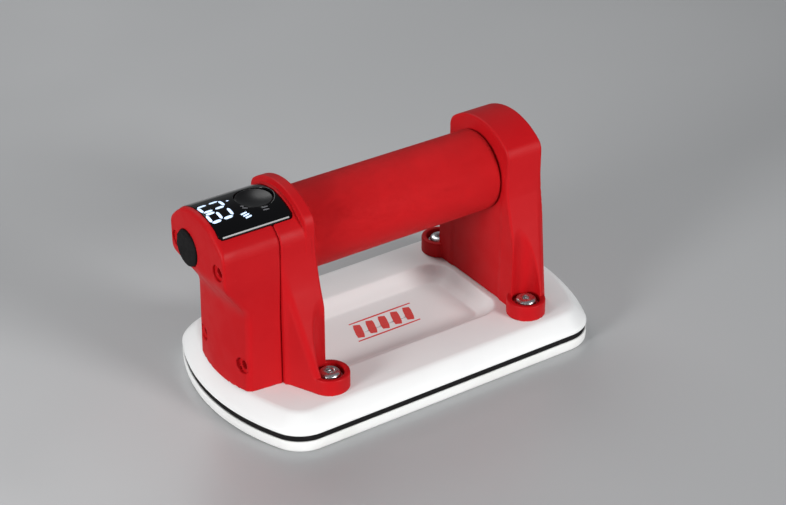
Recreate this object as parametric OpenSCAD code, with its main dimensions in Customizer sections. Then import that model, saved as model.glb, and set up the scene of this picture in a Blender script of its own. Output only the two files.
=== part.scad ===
// Battery vacuum lifter: an oblong suction base with a horizontal hand grip on two posts.
// X runs along the grip, with the display end at -X. Z is up, and the seal's underside is z = 0.

/* [Base] */
// Length of the base along the grip
base_l = 197; // [190:1:205]
// Width of the base
base_w = 111; // [107:1:118]
// Radius of the bowed ends
end_r = 105; // [100:1:130]
// Radius of the four corners
corner_r = 18; // [16:1:20]
// Height of the white sealing ring
seal_h = 6.3; // [5.8:0.1:7]
// Width of the sealing ring, outside to inside
seal_w = 14; // [12:0.5:15]
// Thickness of the black gasket
gasket_t = 2.4; // [2:0.1:3]
// Height of the base's flat top above the floor
deck_z = 18; // [17.5:0.5:19]
// Half length of the tray's rim
tray_x = 50.7; // [46:0.5:51]
// Half width of the tray's rim
tray_y = 27.8; // [22:0.5:28]
// Depth of the tray below the deck
tray_depth = 6; // [4:0.5:6.5]
// How far the tray's walls run inwards
tray_slope = 8.3; // [5:0.1:10]

/* [Posts] */
// Inner face of each post, from the middle of the grip
post_in = 53; // [52:0.5:54]
// Parting line between the front post and its housing
split_x = -72; // [-73:0.5:-71]
// Outer face of the rear post
rear_x = 73.6; // [73:0.1:76]
// Half width of a post
post_w = 24; // [23.5:0.5:26]
// Radius of the arch on top of a post
arch_r = 35; // [34:0.5:37]
// Height of the arch's centre
arch_z = 74; // [73:0.5:75]
// How far the display head lies below the arch
head_drop = 3; // [2:0.5:3]
// Wall thickness of the red mouldings
wall = 2.5; // [2:0.1:2.5]
// Front face of the display head
head_x = -101.5; // [-104:0.5:-100]
// Front of the lower housing, where it is proudest
body_x = -91; // [-92:0.5:-90]

/* [Lugs] */
// Screw centre of the front pair of lugs
lug_front_x = -55.3; // [-56:0.1:-54]
// Screw centre of the rear pair of lugs
lug_rear_x = 57.6; // [56:0.1:59]
// Screw centres from the middle line
lug_y = 36.2; // [35:0.1:38]
// Outer radius of a lug
lug_r = 9.5; // [9:0.1:10]
// Height of a lug above the deck
lug_h = 8.1; // [8:0.1:9]
// Height on the post where its gusset starts
gusset_z = 76; // [70:1:80]
// Where the gusset meets the lug's top, from the middle line
gusset_y = 39.5; // [38:0.5:41]

/* [Handle] */
// Radius of the grip's outside
grip_r = 20; // [19:0.5:21]
// Height of the grip's axis
grip_z = 82.25; // [81:0.25:83]
// Radius of the tube under the grip
tube_r = 17; // [16:0.5:17.5]
// Wall of the tube
tube_wall = 3; // [2:0.5:3]
// Radius of a battery cell
cell_r = 9.2; // [9:0.1:9.3]
// Length of a battery cell
cell_l = 65; // [64:0.5:65]

/* [Display] */
// Front edge of the lens
lens_x = -98.5; // [-99:0.5:-98]
// Rear edge of the lens, at the collar
lens_end = -61; // [-61.5:0.5:-60.5]
// Half width of the lens
lens_y = 17.5; // [16:0.5:18]
// Thickness of the lens
lens_t = 2; // [1.5:0.1:2]
// Centre of the power button
button_x = -71; // [-72:0.5:-70.5]
// Radius of the power button
button_r = 8.8; // [8:0.1:8.9]
// How far the button travels
button_travel = 1; // [0.6:0.1:1]

/* [Charging] */
// Centre of the charging inlet, across the face
inlet_y = 8; // [6:0.5:9]
// Centre of the charging inlet, above the floor
inlet_z = 84.7; // [83:0.1:86]
// Radius of the inlet's rubber cap
cap_r = 8.75; // [8:0.05:9]

/* [Pump] */
// Axis of the motor
motor_x = -67.6; // [-68:0.1:-67.6]
// Radius of the motor's can
motor_r = 12; // [11:0.5:12]
// Throw of the eccentric
throw = 1; // [0.5:0.1:1]
// Valves' place along the post
valve_x = -60.8; // [-61:0.1:-60.5]
// Valves' distance from the middle line
valve_y = 16.5; // [16.4:0.1:16.6]

/* [Hidden] */

$fn = 64;
eps = 0.5;                               // overshoot of a cut past a face
half_l = base_l / 2;
half_w = base_w / 2;
plate_z = seal_h;                        // underside of the suction plate
shell_z = seal_h + gasket_t;             // underside of the base shell
gasket_in = 9;                           // inset of the gasket's inner edge
roof_t = 2.5;                            // thickness of the base shell's top
rib_z = 4.5;                             // lowest point of anything under the suction plate
head_r = arch_r - head_drop;             // arch of the display head
lens_in = head_r - lens_t;               // underside of the lens
roof_r = lens_in - 2;                    // underside of the head's roof
house_r = 2.2;                           // upright corners of the front housing
collar_x = -59;                          // front of the raised collar behind the lens
cbore_z = 22.5;                          // floor of a lug's counterbore
cbore_r = 6.85;
screw_x = -75.5;                         // seat of the housing screws' heads
screw_places = [[-18.5, 84.5], [18.5, 84.5], [-17, 31], [17, 31]];
lug_places = [for (x = [lug_front_x, lug_rear_x], y = [-lug_y, lug_y]) [x, y]];
plate_places = [for (x = [-76, -30, 0, 30, 76], s = [-1, 1]) [x, s * (abs(x) > 70 ? 20 : 36)]];
cover_places = [[-17, 27], [17, 27], [0, 103]];
board_z = 93.6;                          // underside of the control board
board_t = 1.6;
board_top = board_z + board_t;
board_x = [-97, -62];
board_w = 18;                            // half width of the control board
board_places = [for (x = [-94, -65], y = [-15.3, 15.3]) [x, y]];
cap_x = head_x - 1;                      // outer face of the charging cap
pump_z = 21.5;                           // underside of the pump
motor_z = 41;                            // top of the pump and bottom of the motor
motor_h = 27;
rod_z = 32;                              // middle height of the connecting rod
rod_half = 2.5;
pump_x = motor_x - 12;                   // face of the pump housing that carries the diaphragm
head_face = pump_x - 1;
port_x = head_face - 2.5;                // pump ports
valve_z = 22;                            // underside of the valve bodies
cell_x0 = -63;                           // negative end of the front cell
hose_path = [[valve_x, -valve_y, 43], [valve_x, -valve_y, 49], [-64.5, -valve_y, 54],
    [-72, -valve_y, 55.5], [-79, -14.5, 55], [port_x, -9.5, 53], [port_x, -6, 49], [port_x, -6, 43]];
sense_path = [[-82, -12, 57.7], [-82.5, -11, 64], [-82, -9, 72], [-80.5, -8, 80], [-80, -8, 88]];
feed_wire = [[-69, 3, 84], [-71, 3, 86], [-73, 3, 89], [-73, 3, board_z - 0.1]];
motor_wires = [for (s = [-1, 1])
    [[-74, 6 * s, 75], [-74.5, 7 * s, 80], [-75, 8 * s, 87], [-75, 8 * s, board_z - 0.1]]];

// Points on an arc about c, from angle a0 to a1.
function arc(c, r, a0, a1, n) = [for (i = [0:n]) let (a = a0 + (a1 - a0) * i / n) c + r * [cos(a), sin(a)]];

// The base's outline, moved in by d: straight sides, bowed ends and round corners, all about fixed centres.
end_c = [half_l - end_r, 0];
corner_c = [end_c[0] + sqrt(pow(end_r - corner_r, 2) - pow(half_w - corner_r, 2)), half_w - corner_r];
corner_a = atan2(corner_c[1], corner_c[0] - end_c[0]);
function half_outline(d) = concat(
    arc([corner_c[0], -corner_c[1]], corner_r - d, -90, -corner_a, 7),
    [for (i = [1:9]) let (a = corner_a * (i / 5 - 1)) end_c + (end_r - d) * [cos(a), sin(a)]],
    arc(corner_c, corner_r - d, corner_a, 90, 7));
function outline(d) = concat(half_outline(d), [for (p = half_outline(d)) -p]);

// A rectangle of half sizes hx and hy with corners of radius r.
function round_box(hx, hy, r) = concat(
    arc([hx - r, -hy + r], r, -90, 0, 6), arc([hx - r, hy - r], r, 0, 90, 6),
    arc([-hx + r, hy - r], r, 90, 180, 6), arc([-hx + r, -hy + r], r, 180, 270, 6));

// Section of the front housing at height z, with its wall moved in by d: straight sides, a bowed front.
function house_w(z) = lookup(z, [[deck_z, 21.2], [55, 22], [66, 23.2], [77, post_w], [120, post_w]]);
function house_x(z) = lookup(z, [[deck_z, body_x], [58, body_x + 0.5], [62, body_x - 0.8],
    [76, head_x + 0.8], [79, head_x], [120, head_x]]);
function house_bow(z) = lookup(z, [[deck_z, 1.2], [58, 1.2], [79, 0.3], [120, 0.3]]);
function house_ring(z, d, back) =
    let (w = house_w(z), x = house_x(z), b = house_bow(z), r = house_r, m = w - r) concat([[back, w - d]],
        arc([x + b + r, m], r - d, 90, 170, 4),
        [for (i = [3:-1:-3]) let (y = m * i / 4) [x + d + b * pow(y / m, 2), y]],
        arc([x + b + r, -m], r - d, 190, 270, 4),
        [[back, -w + d]]);
function face_x(p) = house_x(p[1]) + house_bow(p[1]) * pow(p[0] / (house_w(p[1]) - house_r), 2);
house_levels = [deck_z, 40, 58, 62, 66, 71, 76, 79, 112];

// Triangles between m rings of n points each, numbered ring by ring.
function walls(m, n) = [for (j = [0:m - 2], k = [0:n - 1], half = [0, 1])
    let (a = j * n + k, b = j * n + (k + 1) % n) half == 0 ? [a, a + n, b + n] : [a, b + n, b]];

// A closed skin over rings of equal length; each level is [ring, z].
module skin(levels) {
    n = len(levels[0][0]);
    m = len(levels);
    polyhedron(
        points = [for (v = levels, p = v[0]) [p[0], p[1], v[1]]],
        faces = concat(
            [[for (k = [0:n - 1]) k]],
            walls(m, n),
            [[for (k = [n - 1:-1:0]) (m - 1) * n + k]]),
        convexity = 6);
}

// A smooth run of points through the given ones, n to a span.
function between(a, b, c, d, t) = 0.5 * (2 * b + (c - a) * t + (2 * a - 5 * b + 4 * c - d) * t * t
    + (3 * b - a - 3 * c + d) * t * t * t);
function smooth(p, n) = concat(
    [for (i = [0:len(p) - 2], k = [0:n - 1])
        between(p[max(i - 1, 0)], p[i], p[i + 1], p[min(i + 2, len(p) - 1)], k / n)],
    [p[len(p) - 1]]);
function coil(r, z0, z1, turns) = [for (i = [0:turns * 12]) let (a = i * 30)
    [r * cos(a), r * sin(a), z0 + (z1 - z0) * i / (turns * 12)]];

// A round bar of radius r along a path; side is a direction that the path never runs in.
module sweep(path, r, side = [0, 1, 0], sides = 8) {
    n = len(path);
    rings = [for (i = [0:n - 1]) let (
        t = path[min(i + 1, n - 1)] - path[max(i - 1, 0)],
        u = cross(t, side) / norm(cross(t, side)),
        v = cross(t, u) / norm(t))
        [for (k = [0:sides - 1]) path[i] + r * (cos(k * 360 / sides) * u + sin(k * 360 / sides) * v)]];
    polyhedron(
        points = [for (q = rings, p = q) p],
        faces = concat(
            [[for (k = [0:sides - 1]) k]],
            walls(n, sides),
            [[for (k = [sides - 1:-1:0]) (n - 1) * sides + k]]),
        convexity = 6);
}

module at(p, z = 0) translate([p[0], p[1], z]) children();

// A cylinder along +X from x0 to x1, at y and z.
module rod_x(x0, x1, y, z, r) translate([x0, y, z]) rotate([0, 90, 0]) cylinder(h = x1 - x0, r = r);

module ring(z0, z1, r_out, r_in) difference() {
    translate([0, 0, z0]) cylinder(h = z1 - z0, r = r_out);
    translate([0, 0, z0 - eps]) cylinder(h = z1 - z0 + 2 * eps, r = r_in);
}

module ring_x(x0, x1, r_out, r_in) difference() {
    rod_x(x0, x1, 0, grip_z, r_out);
    rod_x(x0 - eps, x1 + eps, 0, grip_z, r_in);
}

// A block under the arch, half width w and arch radius r, from x0 to x1 and up from z0.
module arch_block(x0, x1, w, r, z0) {
    translate([x0, 0, 0]) rotate([90, 0, 90]) linear_extrude(x1 - x0) {
        translate([-w, z0]) square([2 * w, arch_z - z0]);
        intersection() {
            translate([0, arch_z]) circle(r);
            translate([-w, arch_z - 1]) square([2 * w, r + 1]);
        }
    }
}

module slab(inset, z0, z1) translate([0, 0, z0]) linear_extrude(z1 - z0) polygon(outline(inset));

// Places where hoses pass from the base into the front post.
module hose_holes(z0, z1) for (s = [-1, 1])
    at([valve_x, s * valve_y], z0) cylinder(h = z1 - z0, r = 4.2);

module base_shell() color("white") difference() {
    skin([[outline(0), shell_z], [outline(0.1), shell_z + 1.2], [outline(1), shell_z + 3],
        [outline(5.2), deck_z - 1.6], [outline(6.6), deck_z - 0.6], [outline(8.2), deck_z]]);
    skin([for (v = [[0, 0], [0.35, 0.15], [1, 1], [1.08, 1.2]]) [round_box(
        tray_x - tray_slope * (1 - v[0]), tray_y - tray_slope * (1 - v[0]), 5 + 7 * v[0]),
        deck_z - tray_depth * (1 - v[1])]]);
    difference() {
        slab(12, shell_z - eps, deck_z - roof_t);
        translate([-tray_x - 3, -tray_y - 3, 0]) cube([2 * tray_x + 6, 2 * tray_y + 6, deck_z]);
        for (p = lug_places) at(p) cylinder(h = deck_z, r = 6.5);
        for (p = plate_places) at(p) cylinder(h = deck_z, r = 3.5);
        for (s = [-1, 1]) at([valve_x, s * valve_y]) cylinder(h = deck_z, r = 6.2);
    }
    for (p = lug_places) {
        at(p, shell_z - eps) cylinder(h = 17.5 - shell_z + eps, r = 3.4);
        at(p, 17) cylinder(h = 2, r = 2.75);
    }
    for (p = plate_places) at(p, shell_z - eps) cylinder(h = 6 + eps, r = 1.4);
    hose_holes(shell_z - eps, deck_z + eps);
}

module gasket_band() color([0.14, 0.14, 0.15]) difference() {
    slab(0.3, seal_h, shell_z);
    slab(gasket_in, seal_h - eps, shell_z + eps);
}

module seal_ring() color([0.93, 0.93, 0.92]) difference() {
    skin([[outline(1), 0], [outline(0.25), 0.8], [outline(0), 1.8], [outline(0), seal_h]]);
    slab(seal_w, -eps, seal_h + eps);
}

module suction_plate() color([0.8, 0.8, 0.79]) difference() {
    union() {
        slab(gasket_in, plate_z, shell_z);
        difference() {
            slab(14.2, rib_z, plate_z + 0.2);
            slab(15.8, rib_z - eps, plate_z + eps);
        }
        intersection() {
            slab(15, rib_z, plate_z + 0.2);
            union() {
                for (x = [-45:30:45]) translate([x - 0.8, -half_w, rib_z]) cube([1.6, base_w, 3]);
                for (y = [-12, 12]) translate([-45, y - 0.8, rib_z]) cube([half_l + 45, 1.6, 3]);
            }
        }
        for (s = [-1, 1]) at([valve_x, s * valve_y], shell_z - 0.1) cylinder(h = 4.9, r = 2);
    }
    for (p = plate_places) at(p, rib_z - eps) cylinder(h = 6, r = 1.6);
    for (s = [-1, 1]) at([valve_x, s * valve_y], rib_z - eps) cylinder(h = 12, r = 1.2);
}

// A pan-head screw pointing along +Z with the seat of its head at z = 0 and a cross recess.
module pan_screw(shank_r, shank_l, head_radius, head_h) difference() {
    union() {
        cylinder(h = shank_l, r = shank_r);
        translate([0, 0, -head_h]) cylinder(h = head_h, r = head_radius);
    }
    for (a = [0, 90]) rotate([0, 0, a])
        translate([-head_radius * 0.55, -0.3, -head_h - eps])
            cube([head_radius * 1.1, 0.6, head_h * 0.6 + eps]);
}

module plate_screws() color("silver") for (p = plate_places) at(p, plate_z) pan_screw(1.4, 7.6, 2.8, 1.4);

module intake_filter() color([0.85, 0.85, 0.8])
    at([valve_x, -valve_y], plate_z - 0.9) cylinder(h = 0.9, r = 8);

module filter_cap() color([0.2, 0.2, 0.2]) difference() {
    at([valve_x, -valve_y], rib_z) cylinder(h = plate_z - rib_z, r = 9.5);
    at([valve_x, -valve_y], plate_z - 0.9) cylinder(h = 2, r = 8);
    for (x = [-6:3:6]) translate([valve_x + x - 0.7, -valve_y - 5, rib_z - eps]) cube([1.4, 10, 3]);
}

module port_hoses() color([0.75, 0.75, 0.75]) for (s = [-1, 1])
    at([valve_x, s * valve_y]) ring(9.3, 21.2, 3.4, 2);

module thread_inserts() color("goldenrod") for (p = lug_places) at(p) ring(9.5, 17.5, 3.4, 2.5);

module lug_screws() color("silver") for (p = lug_places) at(p) difference() {
    union() {
        translate([0, 0, 10]) cylinder(h = cbore_z + 1 - 10, r = 2.5);
        translate([0, 0, cbore_z + 1]) cylinder(h = 1.4, r = 5.25);
        translate([0, 0, cbore_z + 2.4]) cylinder(h = 1.3, r1 = 5.25, r2 = 3.4);
    }
    translate([0, 0, cbore_z + 1.9]) cylinder(h = 3, r = 1.75, $fn = 6);
}

module lug_washers() color("gainsboro") for (p = lug_places) at(p) ring(cbore_z, cbore_z + 1, 6.1, 2.7);

// Lug and gusset on one side of a post that runs from x0 to x1; side is -1 or 1.
module lug(px, x0, x1, side) difference() {
    union() {
        intersection() {
            translate([0, 0, deck_z]) linear_extrude(gusset_z - deck_z) hull() {
                translate([x0, side * (post_w - 1) - 1]) square([x1 - x0, 2]);
                translate([px, side * lug_y]) circle(lug_r, $fn = 32);
            }
            translate([x0 - 20, 0, 0]) rotate([90, 0, 90]) linear_extrude(x1 - x0 + 40) polygon([
                [side * (post_w - 2), deck_z], [side * half_w, deck_z], [side * half_w, deck_z + lug_h],
                [side * gusset_y, deck_z + lug_h], [side * post_w, gusset_z],
                [side * (post_w - 2), gusset_z]]);
        }
        at([px, side * lug_y], deck_z) cylinder(h = lug_h, r = lug_r);
    }
    translate([-post_in, -half_w, deck_z + lug_h]) cube([2 * post_in, base_w, gusset_z]);
    at([px, side * lug_y], deck_z - eps) cylinder(h = 10, r = 2.75);
    at([px, side * lug_y], cbore_z) cylinder(h = gusset_z, r = cbore_r);
}

// Recess in the head's roof that the lens lies in, and the opening under it.
module lens_pocket() {
    difference() {
        translate([lens_x - 0.15, -lens_y - 0.15, arch_z])
            cube([lens_end - lens_x + 0.3, 2 * lens_y + 0.3, 50]);
        translate([lens_x - 5, 0, arch_z]) rotate([0, 90, 0]) cylinder(h = 60, r = lens_in);
    }
    translate([lens_x + 1.8, -lens_y + 1.8, board_top + 1.8])
        cube([lens_end - lens_x - 3.6, 2 * lens_y - 3.6, 40]);
    at([button_x, 0], board_top + 1.8) cylinder(h = arch_z + lens_in - board_top - 1.8, r = button_r + 1.6);
}

module front_post() color([0.78, 0.13, 0.15]) difference() {
    union() {
        difference() {
            union() {
                arch_block(split_x, collar_x, post_w, head_r, deck_z);
                arch_block(collar_x, -post_in, post_w, arch_r, deck_z);
            }
            arch_block(split_x - eps, -post_in - wall, post_w - wall, roof_r, deck_z + wall);
        }
        for (s = [-1, 1]) lug(lug_front_x, split_x, -post_in, s);
        for (p = screw_places) {
            rod_x(split_x, p[1] > 60 ? -61 : -66, p[0], p[1], 4);
            translate([split_x, p[0] > 0 ? p[0] : -post_w + 1, p[1] - 2])
                cube([p[1] > 60 ? 11 : 6, post_w - 1 - abs(p[0]), 4]);
        }
        for (p = board_places) if (p[0] > split_x) at(p, board_top) cylinder(h = 2.6, r = 2.2);
    }
    rod_x(-post_in - wall - eps, -post_in + eps, 0, grip_z, tube_r + 0.05);
    lens_pocket();
    for (p = screw_places) rod_x(split_x - eps, split_x + 5.6, p[0], p[1], 1.5);
    for (p = board_places) if (p[0] > split_x) at(p, board_top - eps) cylinder(h = 3, r = 0.9);
    hose_holes(deck_z - eps, deck_z + wall + eps);
}

module front_housing() color([0.8, 0.14, 0.16]) difference() {
    union() {
        difference() {
            intersection() {
                skin([for (z = house_levels) [house_ring(z, 0, split_x), z]]);
                arch_block(head_x - 1, split_x, post_w + 1, head_r, deck_z - 1);
            }
            intersection() {
                skin([for (z = house_levels) [house_ring(z, 2.1, split_x + 2), z == deck_z ? z - 1 : z]]);
                arch_block(head_x, split_x + 2, post_w, roof_r, deck_z - 2);
            }
        }
        intersection() {
            skin([for (z = house_levels) [house_ring(z, 0.4, split_x), z]]);
            union() {
                for (p = screw_places) rod_x(head_x + 0.2, split_x, p[0], p[1], 4);
                for (p = board_places) if (p[0] < split_x) at(p, board_top) cylinder(h = 2.6, r = 2.2);
            }
        }
    }
    lens_pocket();
    for (p = screw_places) {
        rod_x(head_x - eps, screw_x, p[0], p[1], 2.9);
        rod_x(face_x(p) - 3, face_x(p) + 1.3, p[0], p[1], 4.2);
        rod_x(screw_x - eps, split_x + eps, p[0], p[1], 1.6);
    }
    for (p = board_places) if (p[0] < split_x) at(p, board_top - eps) cylinder(h = 3, r = 0.9);
    rod_x(head_x - 1, head_x + 1.7, inlet_y, inlet_z, cap_r + 0.3);
    rod_x(head_x - 1, head_x + 6, inlet_y, inlet_z, 6.2);
}

module housing_screws() color("dimgray") for (p = screw_places)
    translate([screw_x, p[0], p[1]]) rotate([0, 90, 0]) pan_screw(1.5, 8.5, 2.7, 2);

module rear_post() color([0.78, 0.13, 0.15]) difference() {
    union() {
        difference() {
            arch_block(post_in, rear_x, post_w, arch_r, deck_z);
            arch_block(post_in + wall, rear_x + eps, post_w - wall, arch_r - wall, deck_z + wall);
        }
        for (s = [-1, 1]) lug(lug_rear_x, post_in, rear_x, s);
        ring_x(post_in + 1, 60, tube_r + 2.5, tube_r + 0.05);
        for (p = cover_places) rod_x(post_in + 1, rear_x - wall, p[0], p[1], 3.2);
        for (s = [-1, 1]) translate([post_in + 1, s * 19 - 2.6, 25])
            cube([rear_x - wall - post_in - 1, 5.2, 4]);
    }
    rod_x(post_in - eps, 60 + eps, 0, grip_z, tube_r + 0.05);
    for (p = cover_places) rod_x(rear_x - 10, rear_x, p[0], p[1], 1.3);
}

module rear_cover() color([0.74, 0.12, 0.14]) difference() {
    arch_block(rear_x - wall, rear_x - 0.3, post_w - wall - 0.1, arch_r - wall - 0.1, deck_z + wall + 0.1);
    for (p = cover_places) {
        rod_x(rear_x - wall - eps, rear_x, p[0], p[1], 1.6);
        rod_x(rear_x - 1.5, rear_x, p[0], p[1], 2.9);
    }
}

module rear_cover_screws() color("dimgray") for (p = cover_places)
    translate([rear_x - 1.5, p[0], p[1]]) rotate([0, -90, 0]) pan_screw(1.3, 7.5, 2.5, 1.1);

module handle_tube() color([0.2, 0.2, 0.22]) ring_x(-post_in - wall, 59, tube_r, tube_r - tube_wall);

module grip_sleeve() color([0.72, 0.1, 0.12]) ring_x(-post_in, post_in, grip_r, tube_r);

module cell(x) color("steelblue") {
    rod_x(x, x + cell_l - 1, 0, grip_z, cell_r);
    rod_x(x + cell_l - 1.1, x + cell_l, 0, grip_z, 2.8);
}

module front_cell() cell(cell_x0);

module rear_cell() cell(cell_x0 + cell_l);

module cell_sleeve() color([0.15, 0.4, 0.3]) ring_x(cell_x0, cell_x0 + 2 * cell_l - 1, cell_r + 1, cell_r);

module cell_spacers() color([0.3, 0.3, 0.32]) for (x = [-43, -3, 37]) difference() {
    ring_x(x, x + 6, tube_r - tube_wall, cell_r + 1);
    rod_x(x - eps, x + 6 + eps, 0, grip_z + 12, 1);
}

module contact_spring() color("silver") translate([cell_x0 - 0.35, 0, grip_z]) rotate([0, -90, 0])
    sweep(coil(4, 0, 3.3, 3), 0.35, [0, 0, 1], 6);

module contact_plates() color("goldenrod") {
    rod_x(cell_x0 - 4.6, cell_x0 - 4, 0, grip_z, 8.5);
    rod_x(cell_x0 + 2 * cell_l, cell_x0 + 2 * cell_l + 0.6, 0, grip_z, 8.5);
    translate([cell_x0 + 2 * cell_l, -2, grip_z + 6]) cube([0.6, 4, 6]);
}

module power_leads() color("red") {
    rod_x(board_x[1], cell_x0 + 2 * cell_l, 0, grip_z + 12, 0.8);
    sweep(smooth(feed_wire, 3), 0.8);
    for (w = motor_wires) sweep(smooth(w, 3), 0.7);
}

module display_lens() color([0.05, 0.05, 0.06]) difference() {
    intersection() {
        translate([lens_x, -lens_y, arch_z + 12]) cube([lens_end - lens_x, 2 * lens_y, 30]);
        translate([lens_x - 1, 0, arch_z]) rotate([0, 90, 0]) difference() {
            cylinder(h = 40, r = head_r - 0.2);
            translate([0, 0, -1]) cylinder(h = 42, r = lens_in);
        }
    }
    at([button_x, 0], arch_z + 10) cylinder(h = 40, r = button_r + 0.3);
}

module display_module() color([0.1, 0.1, 0.12])
    translate([-96.3, -11, board_top]) cube([13.5, 22, arch_z + 27.5 - board_top]);

module control_board() color([0.05, 0.35, 0.2]) difference() {
    translate([board_x[0], -board_w, board_z]) cube([board_x[1] - board_x[0], 2 * board_w, board_t]);
    for (p = board_places) at(p, board_z - eps) cylinder(h = 3, r = 1.1);
}

module board_screws() color("silver") for (p = board_places) at(p, board_z) pan_screw(0.9, 3.8, 1.9, 1);

module power_button() color([0.07, 0.07, 0.08]) difference() {
    union() {
        at([button_x, 0], 101) cylinder(h = arch_z + head_r - 1.4 - 101, r = button_r);
        at([button_x, 0], 100.3) cylinder(h = 1.2, r = button_r + 1.2);
        at([button_x, 0], board_top + 4.8) cylinder(h = 1, r = 2);
    }
    at([button_x, 0], arch_z + head_r - 2.6 + 30) sphere(r = 30, $fn = 96);
}

module button_switch() color([0.2, 0.2, 0.2]) difference() {
    translate([button_x - 3, -3, board_top]) cube([6, 6, 3.5]);
    at([button_x, 0], board_top + 1.8) cylinder(h = 3, r = 1.8);
}

module switch_plunger() color("dimgray") at([button_x, 0], board_top + 2.9) cylinder(h = 1.9, r = 1.74);

module buzzer() color([0.1, 0.1, 0.1]) at([-83, 9], board_z - 4) cylinder(h = 4, r = 4.5);

module pressure_sensor() color([0.85, 0.85, 0.82]) difference() {
    union() {
        translate([-83.5, -11.5, board_z - 3]) cube([7, 7, 3]);
        at([-80, -8], board_z - 7) cylinder(h = 5, r = 1.2);
    }
    at([-80, -8], board_z - 8) cylinder(h = 6, r = 0.6);
}

module charge_board() color([0.05, 0.35, 0.2])
    translate([-92, inlet_y - 6, inlet_z - 7]) cube([1.6, 12, 14.5]);

module charge_port() color("silver") difference() {
    hull() for (s = [-1, 1]) rod_x(-99, -92, inlet_y + s * 2.9, inlet_z, 1.6);
    hull() for (s = [-1, 1]) rod_x(-99 - eps, -94, inlet_y + s * 2.9, inlet_z, 1.3);
}

module charge_cap() color([0.1, 0.1, 0.1]) difference() {
    union() {
        rod_x(cap_x, head_x + 1.5, inlet_y, inlet_z, cap_r);
        translate([cap_x + 0.5, inlet_y + 3.5, inlet_z + cap_r - 0.55]) rotate([90, 0, 0])
            cylinder(h = 7, r = 0.5);
        difference() {
            rod_x(head_x + 1.4, head_x + 3, inlet_y, inlet_z, 5.6);
            rod_x(head_x + 1.5, head_x + 4, inlet_y, inlet_z, 4.6);
        }
    }
    translate([cap_x - eps, inlet_y - 4, inlet_z + cap_r - 1.2]) cube([eps + 0.5, 8, 3]);
}

module motor_can() color("silver") at([motor_x, 0]) difference() {
    translate([0, 0, motor_z]) cylinder(h = motor_h, r = motor_r);
    translate([0, 0, motor_z + 1.5]) cylinder(h = motor_h, r = motor_r - 1);
    translate([0, 0, motor_z - eps]) cylinder(h = 3, r = 1.05);
}

module motor_magnets() color([0.25, 0.25, 0.27]) at([motor_x, 0]) difference() {
    ring(motor_z + 4, motor_z + 24, motor_r - 1, 9);
    translate([-1.5, -motor_r, motor_z]) cube([3, 2 * motor_r, motor_h]);
}

module motor_end_bell() color([0.9, 0.9, 0.85]) at([motor_x, 0]) difference() {
    union() {
        translate([0, 0, motor_z + motor_h]) cylinder(h = 3, r = motor_r);
        for (s = [-1, 1]) translate([-7.4, s * 6 - 1, motor_z + motor_h + 2.9]) cube([0.6, 2, 4]);
    }
    translate([0, 0, motor_z + motor_h - eps]) cylinder(h = 2.5, r = 1.05);
}

module motor_rotor() color("dimgray") at([motor_x, 0]) {
    translate([0, 0, 28]) cylinder(h = motor_z + motor_h + 1.5 - 28, r = 1);
    difference() {
        translate([0, 0, motor_z + 5]) cylinder(h = 18, r = 8.4);
        for (a = [0:120:240]) rotate([0, 0, a]) translate([4, -1.2, motor_z]) cube([6, 2.4, motor_h]);
    }
}

module eccentric() color("goldenrod") difference() {
    at([motor_x - throw, 0], rod_z - 3) cylinder(h = 6, r = 4.5);
    at([motor_x, 0], rod_z - 4) cylinder(h = 8, r = 1);
}

module connecting_rod() color([0.9, 0.9, 0.88]) difference() {
    union() {
        at([motor_x - throw, 0], rod_z - rod_half) cylinder(h = 2 * rod_half, r = 6);
        translate([pump_x + 1.2, -2, rod_z - rod_half]) cube([5, 4, 2 * rod_half]);
        rod_x(pump_x + 0.8, pump_x + 2, 0, rod_z, 6.4);
    }
    at([motor_x - throw, 0], rod_z - 4) cylinder(h = 8, r = 4.55);
}

module pump_housing() color([0.15, 0.15, 0.16]) difference() {
    translate([pump_x, -11, pump_z]) cube([motor_x + 10.5 - pump_x, 22, motor_z - pump_z]);
    at([motor_x, 0], 27) cylinder(h = 20, r = 9);
    rod_x(pump_x - eps, motor_x, 0, rod_z, 7.9);
    for (s = [-1, 1], z = [pump_z + 2.2, motor_z - 2.2]) rod_x(pump_x - eps, pump_x + 6, s * 8.8, z, 1);
}

module diaphragm() color([0.1, 0.1, 0.1]) difference() {
    translate([head_face, -11, pump_z]) cube([1, 22, motor_z - pump_z]);
    for (s = [-1, 1], z = [pump_z + 2.2, motor_z - 2.2]) rod_x(head_face - eps, pump_x + eps, s * 8.8, z, 1);
}

module pump_head() color([0.2, 0.2, 0.21]) difference() {
    union() {
        translate([head_face - 5, -11, pump_z]) cube([5, 22, motor_z - pump_z]);
        for (s = [-1, 1]) at([port_x, s * 6], motor_z - 0.1) cylinder(h = 6.1, r = 2);
    }
    for (s = [-1, 1]) {
        at([port_x, s * 6], rod_z) cylinder(h = 20, r = 1.1);
        rod_x(port_x, head_face + eps, s * 6, rod_z + 1, 1.1);
    }
    for (s = [-1, 1], z = [pump_z + 2.2, motor_z - 2.2])
        rod_x(head_face - 5 - eps, head_face + eps, s * 8.8, z, 1);
}

module pump_screws() color("silver") for (s = [-1, 1], z = [pump_z + 2.2, motor_z - 2.2])
    translate([head_face - 5, s * 8.8, z]) rotate([0, 90, 0]) pan_screw(1, 10.5, 1.9, 1.2);

module pump_pads() color([0.12, 0.12, 0.12]) {
    translate([-71.5, -8, deck_z + wall]) cube([13, 16, pump_z - deck_z - wall]);
    translate([-79, -8, deck_z]) cube([6, 16, pump_z - deck_z]);
}

module motor_bracket() color("gainsboro") difference() {
    translate([split_x, -post_w + wall, 60]) cube([-post_in - wall - split_x, 2 * (post_w - wall), 1.5]);
    at([motor_x, 0], 59) cylinder(h = 4, r = motor_r);
}

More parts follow.
